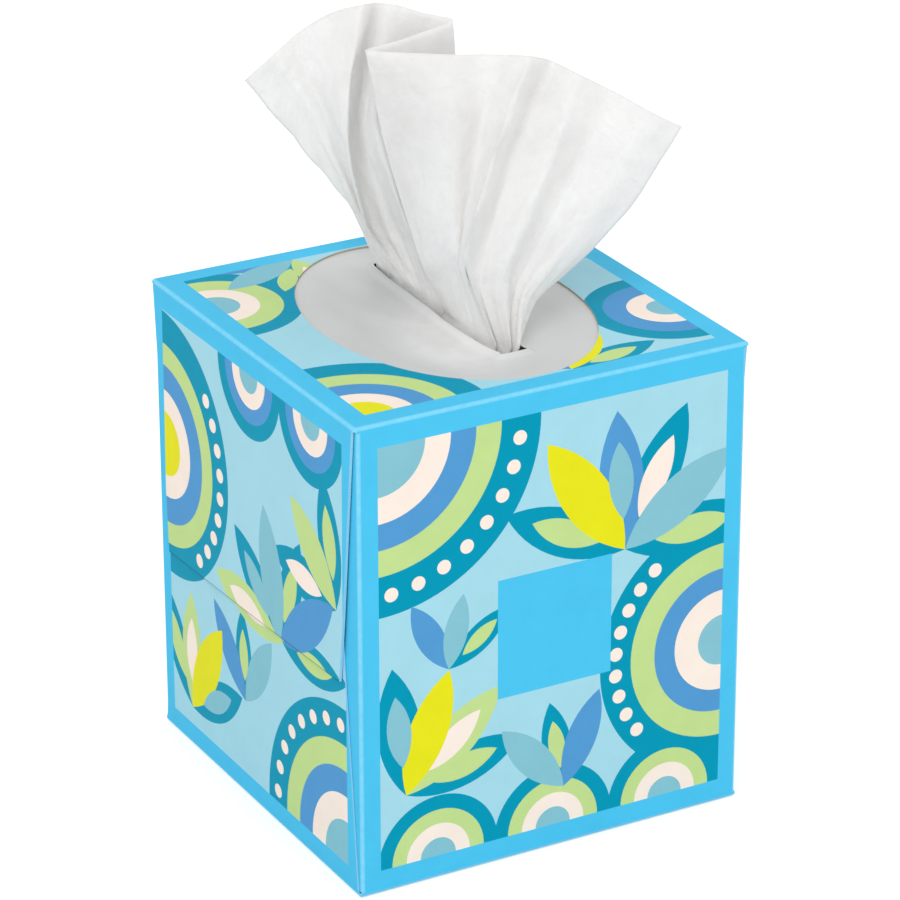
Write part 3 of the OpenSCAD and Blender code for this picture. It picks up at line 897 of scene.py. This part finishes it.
    def ends(self, skin: Skin, printed: PanelPrint) -> None:
        """Adds the four flaps that close each end, with their creases."""
        w, d, h, r = self.width / 2, self.depth / 2, self.height / 2, self.crease
        lower_flap = self.height - self.upper_flap + self.flap_lap
        dust_flap = d - self.dust_gap / 2
        root, tip = d - self.root_step, d - self.tip_step
        dust_root, dust_tip = h - self.root_step, h - self.tip_step
        x, y, z = np.eye(3)
        for side in (-1, 1):
            out = side * x
            layers = [side * (w - i * self.board) for i in range(3)]
            upper = self.flap_outline(root, tip, self.upper_flap - r, self.upper_slant) + (0, h - r)
            lower = -self.flap_outline(root, tip, lower_flap - r) - (0, h - r)
            for layer, flap in ((layers[0], upper), (layers[1], lower)):
                self.plate(skin, Place((layer, 0, h), y, z, out), flap, printed,
                           halves=(d, h - r), outer=flap is upper)
            for level, layer, way in ((2 * h - r, layers[0], z), (r, layers[1], -z)):
                axis = np.array([layer - side * r, 0, level])
                self.fold(skin, axis - (d - r) * y, axis + (d - r) * y, way, out)
                for face in (-1, 1):
                    self.corner(skin, axis + face * (d - r) * y, np.array([out, face * y, way]))
            for face in (-1, 1):
                axis = np.array([layers[2] - side * r, face * (d - r), h])
                self.fold(skin, axis - dust_root * z, axis + dust_root * z, face * y, out)
                self.plate(skin, Place((layers[2], face * (d - r), h), z, face * y, out),
                           self.flap_outline(dust_root, dust_tip, dust_flap - r))

    def build(self) -> bpy.types.Object:
        """Builds the carton, with its print, raw edges and uncoated inside."""
        skin = Skin()
        prints = self.prints()
        self.sleeve(skin, prints)
        self.ends(skin, prints["end"])
        mesh = self.thicken(*skin.welded())
        # The light cyan edge material is a painted highlight: it stands for the lit cut edges, whose
        # board is grey-brown
        for finish in (PrintedBoard(), BareBoard("cut_boxboard_edge", "#C9BBA6", "#A39078"),
                       BareBoard("uncoated_boxboard_inside", "#BDB6AA", "#A9A195"),
                       BareBoard("boxboard_edge_painted_highlight", "#A9DDF3", "#86CBEB")):
            mesh.materials.append(finish.build())
        carton = new_object("carton_board", mesh)
        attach(carton, BODY)
        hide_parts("carton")
        return carton

    def thicken(self, points: np.ndarray, normals: np.ndarray, depths: np.ndarray,
                triangles: np.ndarray, inks: np.ndarray, wear_and_painted_light: np.ndarray) -> bpy.types.Mesh:
        """Gives the welded skin the board's thickness, inwards, and closes it along every cut edge.

        Args:
            points: the outside's points.
            normals: its true normals.
            depths: how much deeper than the board's thickness the inside lies.
            triangles: its triangles.
            inks: the number of each triangle's ink.
            wear_and_painted_light: each corner's share of cracked coating and painted highlight, or below
                0, how far a painted
            shadow darkens its ink.

        Returns:
            A mesh with the attribute "ink", material numbers and its own corner normals.
        """
        n = len(points)
        edges = np.vstack([triangles[:, [0, 1]], triangles[:, [1, 2]], triangles[:, [2, 0]]])
        forward, backward = edges[:, 0] * n + edges[:, 1], edges[:, 1] * n + edges[:, 0]
        cut = edges[~np.isin(forward, backward)]
        a, b = cut.T
        walls = np.vstack([np.column_stack([b, a, a + n]), np.column_stack([b, a + n, b + n])])
        inner = triangles[:, ::-1] + n
        every = np.vstack([points, points - (self.board_shown + depths)[:, None] * normals])
        faces = np.vstack([triangles, inner, walls])
        p, q, s = (every[walls[:, i]] for i in range(3))
        wall_ways = np.cross(q - p, s - p)
        wall_ways /= np.maximum(np.linalg.norm(wall_ways, axis=1, keepdims=True), 1e-12)
        corner_normals = np.vstack([normals[triangles].reshape(-1, 3),
                                    -normals[triangles[:, ::-1]].reshape(-1, 3),
                                    np.repeat(wall_ways, 3, axis=0)])
        mesh = bpy.data.meshes.new("carton_board")
        mesh.from_pydata((every * MM).tolist(), [], faces.tolist())
        palette = np.array([linear(ink.value) for ink in Ink])
        corner_inks = np.tile(palette[0], (3 * len(faces), 1))
        corner_inks[:3 * len(inks)] = np.repeat(palette[inks], 3, axis=0)
        worn_and_painted_light = np.zeros(3 * len(faces))
        worn_and_painted_light[:3 * len(inks)] = wear_and_painted_light.reshape(-1)
        # Below 0 darkens the ink: the painted shadow along the cut edges. Above 0 is the alpha: the share
        # of cracked coating and painted highlight.
        corner_inks[:, :3] *= 1 + np.minimum(worn_and_painted_light, 0)[:, None]
        corner_inks[:, 3] = np.maximum(worn_and_painted_light, 0)
        layer = mesh.attributes.new("ink", "FLOAT_COLOR", "CORNER")
        layer.data.foreach_set("color", corner_inks.astype(np.float32).reshape(-1))
        around_oval = self.opening() * 1.02
        on_oval = in_polygon(p[:, :2], around_oval) & (p[:, 2] > self.height - self.crease)
        # Cut edges away from the oval get the painted highlight material
        kinds = np.concatenate([np.full(len(triangles), PRINTED), np.full(len(inner), INSIDE),
                                np.where(on_oval, CUT_EDGE, PAINTED_HIGHLIGHT_EDGE)])
        mesh.polygons.foreach_set("material_index", kinds.astype(np.int32))
        mesh.polygons.foreach_set("use_smooth", np.ones(len(faces), bool))
        mesh.normals_split_custom_set(corner_normals.tolist())
        mesh.update()
        return mesh


# Surfaces on a grid

def grid_normals(grid: np.ndarray, wrap: bool) -> np.ndarray:
    """Unit normals of a grid of points, across its columns' and rows' central differences."""
    if wrap:
        along = np.roll(grid, -1, axis=1) - np.roll(grid, 1, axis=1)
    else:
        along = np.gradient(grid, axis=1)
    up = np.gradient(grid, axis=0)
    normals = np.cross(along, up)
    return normals / np.maximum(np.linalg.norm(normals, axis=2, keepdims=True), 1e-12)


def closed_skin(name: str, grid: np.ndarray, thickness: float, wrap: bool = False,
                uv: np.ndarray | None = None) -> bpy.types.Mesh:
    """Makes a closed thin skin round a grid of points: a copy on each side, joined at the open edges.

    Args:
        name: the mesh's name.
        grid: rows by columns by 3, in millimetres.
        thickness: the skin's.
        wrap: whether the last column meets the first.
        uv: rows by columns by 2, the flat sheet's own coordinates in millimetres.

    Returns:
        The mesh, in metres.
    """
    rows, columns = grid.shape[:2]
    normals = grid_normals(grid, wrap)
    points = np.concatenate([(grid + thickness / 2 * normals).reshape(-1, 3),
                             (grid - thickness / 2 * normals).reshape(-1, 3)])
    n = rows * columns
    numbers = np.arange(n).reshape(rows, columns)
    after = np.roll(numbers, -1, axis=1)
    last = columns if wrap else columns - 1
    a, b = numbers[:-1, :last].ravel(), after[:-1, :last].ravel()
    c, d = after[1:, :last].ravel(), numbers[1:, :last].ravel()
    faces = [np.column_stack([a, b, c, d]), np.column_stack([d, c, b, a]) + n]
    rims = [(after[0, :last], numbers[0, :last]), (numbers[-1, :last], after[-1, :last])]
    if not wrap:
        rims += [(numbers[:-1, 0], numbers[1:, 0]), (numbers[1:, -1], numbers[:-1, -1])]
    faces += [np.column_stack([p, q, q + n, p + n]) for p, q in rims]
    quads = np.vstack(faces)
    mesh = bpy.data.meshes.new(name)
    mesh.from_pydata((points * MM).tolist(), [], quads.tolist())
    mesh.polygons.foreach_set("use_smooth", np.ones(len(quads), bool))
    if uv is not None:
        flat = np.concatenate([uv.reshape(-1, 2)] * 2)
        layer = mesh.uv_layers.new(name="sheet")
        layer.data.foreach_set("uv", flat[quads.ravel()].astype(np.float32).ravel())
    mesh.update()
    return mesh


def curve_through(points: np.ndarray, steps: int, softness: np.ndarray | None = None) -> np.ndarray:
    """Carries curves through rows of points.

    Between two rows it is a cubic whose slope at each row is half the way from the row before to the
    row after, times that row's softness, so that a low softness gives a sharp fold.

    Args:
        points: rows by anything.
        steps: new rows from one row to the next.
        softness: a number for each row, or None for 1.

    Returns:
        (rows - 1) * steps + 1 rows.
    """
    shape = (-1,) + (1,) * (points.ndim - 1)
    ends = np.concatenate([2 * points[:1] - points[1:2], points, 2 * points[-1:] - points[-2:-1]])
    slopes = (ends[2:] - ends[:-2]) / 2
    if softness is not None:
        slopes = slopes * softness.reshape(shape)
    t = np.arange((len(points) - 1) * steps + 1) / steps
    i = np.minimum(t.astype(int), len(points) - 2)
    u = (t - i).reshape(shape)
    return ((2 * u ** 3 - 3 * u ** 2 + 1) * points[i] + (u ** 3 - 2 * u ** 2 + u) * slopes[i]
            + (3 * u ** 2 - 2 * u ** 3) * points[i + 1] + (u ** 3 - u ** 2) * slopes[i + 1])


@dataclass(frozen=True)
class Ripple:
    """Smooth relief: a sum of plane waves in random directions, about size apart.

    It is as high as height and as deep, and a drawn below 1 draws it out along y. Lengths are in
    millimetres.
    """

    height: float
    size: float
    seed: int
    drawn: float = 1.0
    waves: int = 14

    def at(self, x: np.ndarray, y: np.ndarray) -> np.ndarray:
        """Gives the relief's height at points of x and y."""
        rng = np.random.default_rng(self.seed)
        turns = rng.uniform(0, np.pi, self.waves)
        phases = rng.uniform(0, 2 * np.pi, self.waves)
        pitches = self.size * rng.uniform(0.8, 1.6, self.waves)
        total = np.zeros_like(x)
        for turn, phase, pitch in zip(turns, phases, pitches):
            way = x * math.cos(turn) + y * self.drawn * math.sin(turn)
            total += np.sin(2 * np.pi * way / pitch + phase)
        return self.height * (total / math.sqrt(self.waves))


# Film window

@dataclass
class FilmWindow:
    """The slit film glued under the top panel. It sags a little towards the slit, whose lips curl up.

    The lips lie against the gathered tissue, whose neck line is given, but for slack. The left one stands
    off by up to valley. A short crosswise cut ends the slit in front. Of a pair, the first is for the
    slit's front half and the second for its back half. The outline's points are fanned out towards the
    front, where the oval is far from the slit.
    """

    gather: np.ndarray
    opening_w: float = 69.0
    opening_d: float = 97.0
    margin: float = 4.0
    level: float = 126.52
    dip: float = 1.0
    slit_l: float = 69.2
    slit_back: float = 3.2
    near: float = 4.0
    evened: int = 4
    slack: float = 0.29
    tapers: tuple[float, float] = (0.12, 0.3)
    valley: float = 1.7
    valley_ends: tuple[float, float] = (0.7, 1.2)
    cross_cut: float = 0.6
    cross_cut_share: float = 0.03
    fan_out: float = 24.0
    fan_middle: float = 20.0
    fan_width: float = 30.0
    lip: float = 0.9
    lip_width: float = 1.6
    creases: Ripple = Ripple(0.5, 12.0, 3, 0.4)
    creases_rise: float = 1.4
    film: float = 0.15
    sides: int = 240
    rings: int = 56
    ring_power: float = 1.5

    def slit(self, a: np.ndarray) -> np.ndarray:
        """Outline of the slit at the given angles: beside the gather it keeps a little slack from it.

        Its sides are the least and greatest x of the gather near the same y, evened out over a few
        neighbours. The crosswise cut widens it over the last few millimetres in front. The left lip
        stands off where the tissue comes up from under it, which leaves a soft valley.
        """
        cos, sin = np.cos(a), np.sin(a)
        y = self.slit_back + self.slit_l / 2 * sin
        gather_x, gather_y = self.gather.T
        level = np.clip(y, gather_y.min(), gather_y.max())
        near = np.abs(gather_y[None, :] - level[:, None]) < self.near
        left = np.where(near, gather_x, np.inf).min(axis=1)
        right = np.where(near, gather_x, -np.inf).max(axis=1)
        shifts = range(-self.evened, self.evened + 1)
        left, right = (sum(np.roll(edge, k) for k in shifts) / len(shifts) for edge in (left, right))
        taper = np.where(sin < 0, *self.tapers)
        side = np.sign(np.round(cos, 6)) * np.minimum(1, np.abs(cos) / taper)
        cross = self.cross_cut * np.exp(-((1 + sin) / self.cross_cut_share) ** 2)
        half = (right - left) / 2 + self.slack + cross
        stands_off = self.valley * np.maximum(-cos, 0) ** np.where(sin < 0, *self.valley_ends)
        return np.column_stack([(left + right) / 2 + side * half - stands_off, y])

    def surface(self) -> np.ndarray:
        """Middle surface: straight rays from the slit's outline to the oval's edge and beyond.

        Its height is level - dip * (1 - smooth(s)) plus the lip's curl, which fades over a few
        millimetres, plus creases that run outwards and fade at the slit and at the oval's edge.
        """
        a = np.linspace(0, 2 * np.pi, self.sides, endpoint=False)
        slit = self.slit(a)
        from_front = np.degrees(np.arccos(-np.sin(a)))
        fan = np.exp(-((from_front - self.fan_middle) / self.fan_width) ** 2)
        a = a + np.radians(self.fan_out) * np.sign(np.round(np.cos(a), 6)) * fan
        oval = np.column_stack([self.opening_w / 2 * np.cos(a), self.opening_d / 2 * np.sin(a)])
        s = np.linspace(0, 1, self.rings) ** self.ring_power
        flat = slit + s[:, None, None] * (oval - slit)
        from_slit = np.linalg.norm(flat - slit, axis=2)
        sag = self.dip * (1 - s * s * (3 - 2 * s))[:, None]
        curl = self.lip * np.exp(-(from_slit / self.lip_width) ** 2)
        fade = (s * (1 - s) ** 0.5)[:, None] * self.creases_rise
        creases = self.creases.at(flat[..., 0], flat[..., 1]) * fade
        middle = self.level - self.film / 2
        inner = np.dstack([flat, middle - sag + curl + creases])
        reach = 1 + self.margin / (self.opening_d / 2)
        rim = np.dstack([oval[None] * reach, np.full((1, self.sides), middle)])
        return np.concatenate([inner, rim])

    def build(self) -> bpy.types.Object:
        """Builds the film."""
        mesh = closed_skin("film", self.surface(), self.film, wrap=True)
        mesh.materials.append(MilkyFilm().build())
        film = new_object("film", mesh)
        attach(film, BODY)
        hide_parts("film_window")
        return film


# Pulled-up tissue

# One fold of the tissue a row, set against the photograph, in millimetres
FOLDS = np.array([
    # neck x, y | low point: across, front, up | middle point | top point | softness
    (0.3, 34.5, -24.5, -22.5, 20, -36, -21, 36, -50.5, -20, 55, 1.0),
    (0, 30.5, -23.3, -19, 21, -35, -16, 49, -43.5, -15, 63, 1.0),
    (0.3, 26.5, -21.3, -20.5, 19.5, -31, -17, 49.5, -37, -17, 68.5, 1.0),
    (-0.1, 22, -19.2, -16.5, 19, -27.5, -9, 48, -28.5, -12, 75.5, 1.0),
    (0.2, 16, -20, -12, 18, -24.5, -4, 48, -20.5, -5, 80, 0.6),
    (0.3, 10.5, -12.5, -18, 13.5, -20.5, -12, 43, -16.5, -11, 78.5, 0.8),
    (-0.2, 4.5, -8, -4, 18, -17, -10, 48, -12.5, -11, 78, 0.8),
    (1.9, -6.5, -3.5, -14, 13.5, -10, -15, 51, -5, -9, 76.5, 1.0),
    (1.6, -12, 3, 3, 12, 4, -4, 42.5, 2, -5, 76, 0.5),
    (0.6, -8.5, -1, 5, 20, -8.5, -1, 45.5, -8.5, -2, 72.5, 1.0),
    (0, -2.5, -6, 8, 16.5, -14.5, 4, 45, -19.5, 2, 70.5, 0.5),
    (-1, -9.5, -3, 10, 16.5, -8, 5, 45, -11, 4, 70.5, 1.0),
    (-1.1, -15, 2, 16, 21.5, 2, 10, 44.5, 1.5, 4, 70, 1.0),
    (-1, -22.5, 3.6, 17.5, 19.5, 8.5, 7, 46, 12.5, 4, 70, 0.8),
    (-0.2, -29, 5, 21, 21.5, 13, 15, 50, 21, 11, 72, 0.6),
    (0.9, -27, 8.5, 17.5, 16, 17, 7, 45, 26.5, 3, 68, 0.8),
    (2.2, -32, 14.5, 20, 17.5, 26, 13, 46, 33.5, 8, 66, 0.7),
    (3, -29.5, 17.5, 16, 13, 32.5, 6, 40, 41.5, 4, 60.5, 0.9),
    (4.2, -32.5, 20.5, 19, 12, 39, 12, 37, 50.5, 9, 57, 0.8),
    (5.2, -30.5, 22.5, 14, 7, 44, 9, 28, 59, 6, 51.5, 1.0),
])


@dataclass
class PulledTissue:
    """The first tissue, folded over on itself and gathered by the slit. Its lower half is in the clip.

    The folds are laid out across and in front as the camera sees them, so turn is the camera's angle.
    Spread and rise fit them to it. Bends is the softness of a fold's curve at its neck, low, middle and
    top point. The gather comes from under the film's left lip by tuck.
    """

    carton_h: float = 127.0
    neck_z: float = 126.54
    foot_z: float = 122.64
    tuck: float = 2.4
    tuck_ends: float = 0.35
    slit_back: float = 2.5
    turn: float = 29.0
    spread: float = 0.99
    rise: float = 0.983
    ply: float = 0.3
    sheet_w: float = 208.0
    pulled_l: float = 79.2
    fold_steps: int = 12
    rise_steps: int = 20
    foot_steps: int = 5
    tight_fold: float = 10.0
    tight_width: float = 1.3
    bends: tuple[float, ...] = (1.0, 0.5, 1.0, 1.0)
    gathers: Ripple = Ripple(0.42, 5.0, 11, 0.06)
    gathers_at: float = 0.32
    gathers_reach: float = 0.2
    pleats: Ripple = Ripple(0.35, 9.0, 7, 0.10)
    crumples: tuple[Ripple, ...] = (Ripple(0.22, 14.0, 5), Ripple(0.10, 6.0, 9))

    def folds(self) -> np.ndarray:
        """Points of the folds: rows of feet, necks, low, middle and top points, one fold a column."""
        turn = math.radians(self.turn)
        across = np.array([math.cos(turn), -math.sin(turn), 0])
        front = np.array([-math.sin(turn), -math.cos(turn), 0])
        up = np.array([0, 0, 1])
        neck = np.column_stack([FOLDS[:, :2] + (0, self.slit_back), np.full(len(FOLDS), self.neck_z)])
        from_middle = (neck[:, 1] - neck[:, 1].mean()) / (np.ptp(neck[:, 1]) / 2)
        under = self.tuck * np.clip(1 - from_middle ** 2, 0, 1) ** self.tuck_ends
        foot = np.column_stack([neck[:, 0] - under, neck[:, 1], np.full(len(FOLDS), self.foot_z)])
        fan = [self.spread * FOLDS[:, i:i + 1] * across + FOLDS[:, i + 1:i + 2] * front
               + (self.rise * FOLDS[:, i + 2:i + 3] + self.carton_h) * up for i in (2, 5, 8)]
        return np.stack([foot, neck, *fan])

    def neck_line(self) -> np.ndarray:
        """Line along which the gathered sheet comes through the slit: points of x and y."""
        return curve_through(self.folds()[1], self.fold_steps, FOLDS[:, 11])[:, :2]

    def surface(self) -> tuple[np.ndarray, np.ndarray]:
        """Middle surface and the flat sheet's coordinates.

        Curves run up through each fold's points, then across from fold to fold. Gathers, which are
        deepest a third of the way up, pleats, which are deepest halfway, and soft crumples above the slit
        then move each point along the surface's normal. They do so less in the tight fold and where the
        sheet is pressed together.

        Returns:
            The grid of points, and the grid of the sheet's own coordinates in millimetres.
        """
        folds = self.folds()
        risen = curve_through(folds[1:], self.rise_steps, np.array(self.bends))
        share = np.linspace(0, 1, self.foot_steps, endpoint=False)[:, None, None]
        rows = np.concatenate([folds[0] + share * (folds[1] - folds[0]), risen])
        grid = curve_through(rows.swapaxes(0, 1), self.fold_steps, FOLDS[:, 11]).swapaxes(0, 1)
        height = np.linspace(0, 1, grid.shape[0])[:, None]
        along = np.linspace(0, 1, grid.shape[1])[None]
        u, v = np.broadcast_arrays(along * self.sheet_w, height * self.pulled_l)
        near_gathers = np.exp(-((height - self.gathers_at) / self.gathers_reach) ** 2)
        relief = self.gathers.at(u, v) * near_gathers
        relief += self.pleats.at(u, v) * (height * (1.15 - height)) * 2
        relief += sum(crumple.at(u, v) for crumple in self.crumples) * np.clip(height * 2.5 - 0.4, 0, 1)
        from_tight = along * (len(FOLDS) - 1) - self.tight_fold
        calm = 1 - np.exp(-(from_tight / self.tight_width) ** 2)
        stretch = np.linalg.norm(np.gradient(grid, axis=1), axis=2) * (grid.shape[1] - 1) / self.sheet_w
        relief *= np.clip(calm, 0.1, 1) * np.clip(1.6 * stretch, 0.15, 1)
        return grid + relief[..., None] * grid_normals(grid, False), np.dstack([u, v])

    def build(self) -> bpy.types.Object:
        grid, flat = self.surface()
        mesh = closed_skin("pulled_tissue", grid, self.ply, uv=flat)
        mesh.materials.append(TissuePaper().build())
        tissue = new_object("pulled_tissue", mesh)
        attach(tissue, BODY)
        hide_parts("top_tissue")
        return tissue


# Studio

@dataclass
class Studio:
    """White floor, soft light and the photograph's camera.

    The camera's lengths are in millimetres and its angles in degrees. The floor's and the lamps' are in
    metres.
    """

    target: Triple = (1.37, 0.0, 87.93)
    azimuth: float = -29.05
    elevation: float = 23.90
    distance: float = 1130.7
    roll: float = -0.10
    lens: float = 177.11
    sensor: float = 36.0
    room: float = 0.735
    floor_radius: float = 6.0
    floor_z: float = -0.0002
    floor_sides: int = 64
    lamp_size: float = 1.2
    lamp_aim: Triple = (0.0, 0.0, 0.09)

    def camera(self) -> bpy.types.Object:
        """Puts the camera where the photograph was taken from."""
        a, e = math.radians(self.azimuth), math.radians(self.elevation)
        back = Vector((math.sin(a) * math.cos(e), -math.cos(a) * math.cos(e), math.sin(e)))
        data = bpy.data.cameras.new("camera")
        data.lens = self.lens
        data.sensor_width = self.sensor
        data.clip_start = 0.05
        data.clip_end = 20.0
        camera = new_object("camera", data)
        aim = back.to_track_quat("Z", "Y").to_matrix().to_4x4()
        place = Matrix.Translation((Vector(self.target) + back * self.distance) * MM)
        camera.matrix_world = place @ aim @ Matrix.Rotation(math.radians(self.roll), 4, "Z")
        bpy.context.scene.camera = camera
        return camera

    def floor(self) -> bpy.types.Object:
        """Lays the white floor, which the camera sees close to pure white but for the soft shadow."""
        turn = np.linspace(0, 2 * np.pi, self.floor_sides, endpoint=False)
        ring = np.column_stack([self.floor_radius * np.cos(turn), self.floor_radius * np.sin(turn),
                                np.full(self.floor_sides, self.floor_z)])
        mesh = bpy.data.meshes.new("floor")
        mesh.from_pydata(ring.tolist(), [], [list(range(self.floor_sides))])
        mesh.materials.append(PaperSweep().build())
        floor = new_object("floor", mesh)
        return floor

    def lamp(self, name: str, place: Triple, watts: float) -> bpy.types.Object:
        """Hangs a square soft box that looks at the middle of the object.

        Args:
            name: the lamp's name.
            place: where it hangs.
            watts: its power.

        Returns:
            The lamp.
        """
        data = bpy.data.lights.new(name, "AREA")
        data.size = self.lamp_size
        data.energy = watts
        lamp = new_object(name, data)
        lamp.location = place
        lamp.rotation_euler = (Vector(place) - Vector(self.lamp_aim)).to_track_quat("Z", "Y").to_euler()
        return lamp

    def sky(self) -> None:
        """Lights the room evenly, and shows white to the camera and through clear things."""
        world = bpy.data.worlds.new("white_room")
        bpy.context.scene.world = world
        world.use_nodes = True
        tree = world.node_tree
        tree.nodes.clear()
        path = add_node(tree, "ShaderNodeLightPath")
        sees = add_node(tree, "ShaderNodeMath", {
            0: path.outputs["Is Camera Ray"], 1: path.outputs["Is Transmission Ray"]},
            operation="MAXIMUM")
        strength = add_node(tree, "ShaderNodeMapRange", {
            "Value": sees.outputs[0], "To Min": self.room, "To Max": 1.0})
        light = add_node(tree, "ShaderNodeBackground", {
            "Color": linear("#FFFFFF"), "Strength": strength.outputs["Result"]})
        add_node(tree, "ShaderNodeOutputWorld", {"Surface": light.outputs[0]})

    def build(self) -> None:
        """Sets up the camera, floor and lights."""
        self.camera()
        self.floor()
        self.sky()
        self.lamp("key", (-1.1, -1.25, 1.55), 17.0)
        self.lamp("fill", (1.5, -0.9, 0.9), 3.0)
        self.lamp("back", (0.9, 1.3, 1.4), 2.0)
        bpy.context.scene.view_settings.view_transform = "Standard"


def main() -> None:
    """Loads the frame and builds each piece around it."""
    logging.basicConfig(level=logging.INFO, format="%(name)s: %(message)s")
    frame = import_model()
    Studio().build()
    tissue = PulledTissue()
    for piece in (Carton().build(), FilmWindow(tissue.neck_line()).build(), tissue.build()):
        LOG.info("%s: %d faces", piece.name, len(piece.data.polygons))
    clip = frame["nodes"]["tissue_stack"]
    clip.data.materials.clear()
    clip.data.materials.append(StackedTissue().build())


if __name__ == "__main__":
    main()
